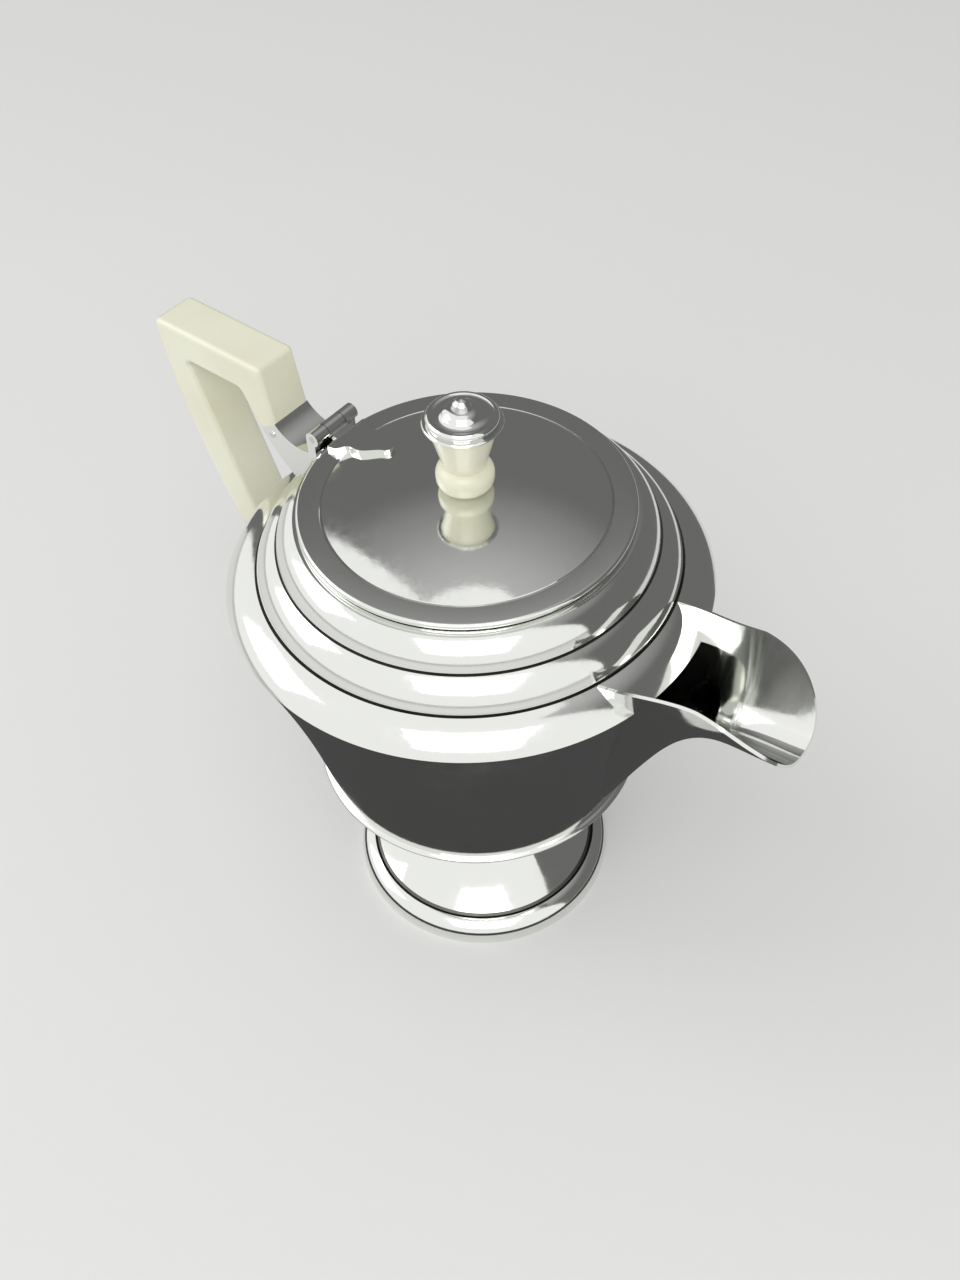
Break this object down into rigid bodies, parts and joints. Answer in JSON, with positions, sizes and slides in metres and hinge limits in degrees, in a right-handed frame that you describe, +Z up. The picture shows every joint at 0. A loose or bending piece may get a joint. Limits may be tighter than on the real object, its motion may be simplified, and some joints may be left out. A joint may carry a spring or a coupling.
{
  "type": "coffee pot",
  "caption": "Tapered silver pot on a flared foot for pouring hot coffee, with a hinged lid, an open beak spout and an angular ivory-coloured handle",
  "frame": {"origin": "centre of the foot's rest plane, on the pot's axis", "axes": "+Z is up along the pot's axis, +X points to the spout and -X to the handle; both halves mirror in y = 0"},
  "size_m": [0.2121, 0.134, 0.1902],
  "materials": {
    "silver": "polished silver with fine wiping scratches",
    "ivory": "smooth cream-coloured resin, softly polished",
    "pin_metal": "drawn metal rod"
  },
  "bodies": {
    "pot": {"foot_collar": "silver", "foot_band": "silver", "body_bowl": "silver", "waist_ring": "silver", "body_wall": "silver", "shoulder_collar": "silver", "mouth_ring": "silver", "spout": "silver", "handle_grip": "ivory", "handle_upper_socket": "silver", "handle_lower_socket": "silver", "handle_upper_pin": "silver", "handle_lower_pin": "silver", "hinge_lug": "silver", "hinge_pin": "pin_metal"},
    "lid": {"hinge_leaf": "silver", "lid_cover": "silver", "lid_bezel": "silver", "finial_stem": "ivory", "finial_cap": "silver", "finial_bolt": "silver", "finial_washer": "silver", "finial_nut": "silver"}
  },
  "joints": [
    {"name": "lid_hinge", "type": "hinge", "parent": "pot", "child": "lid", "pos_m": [-0.0476, 0, 0.1586], "axis": [0, -1, 0], "range_deg": [0, 100]}
  ]
}
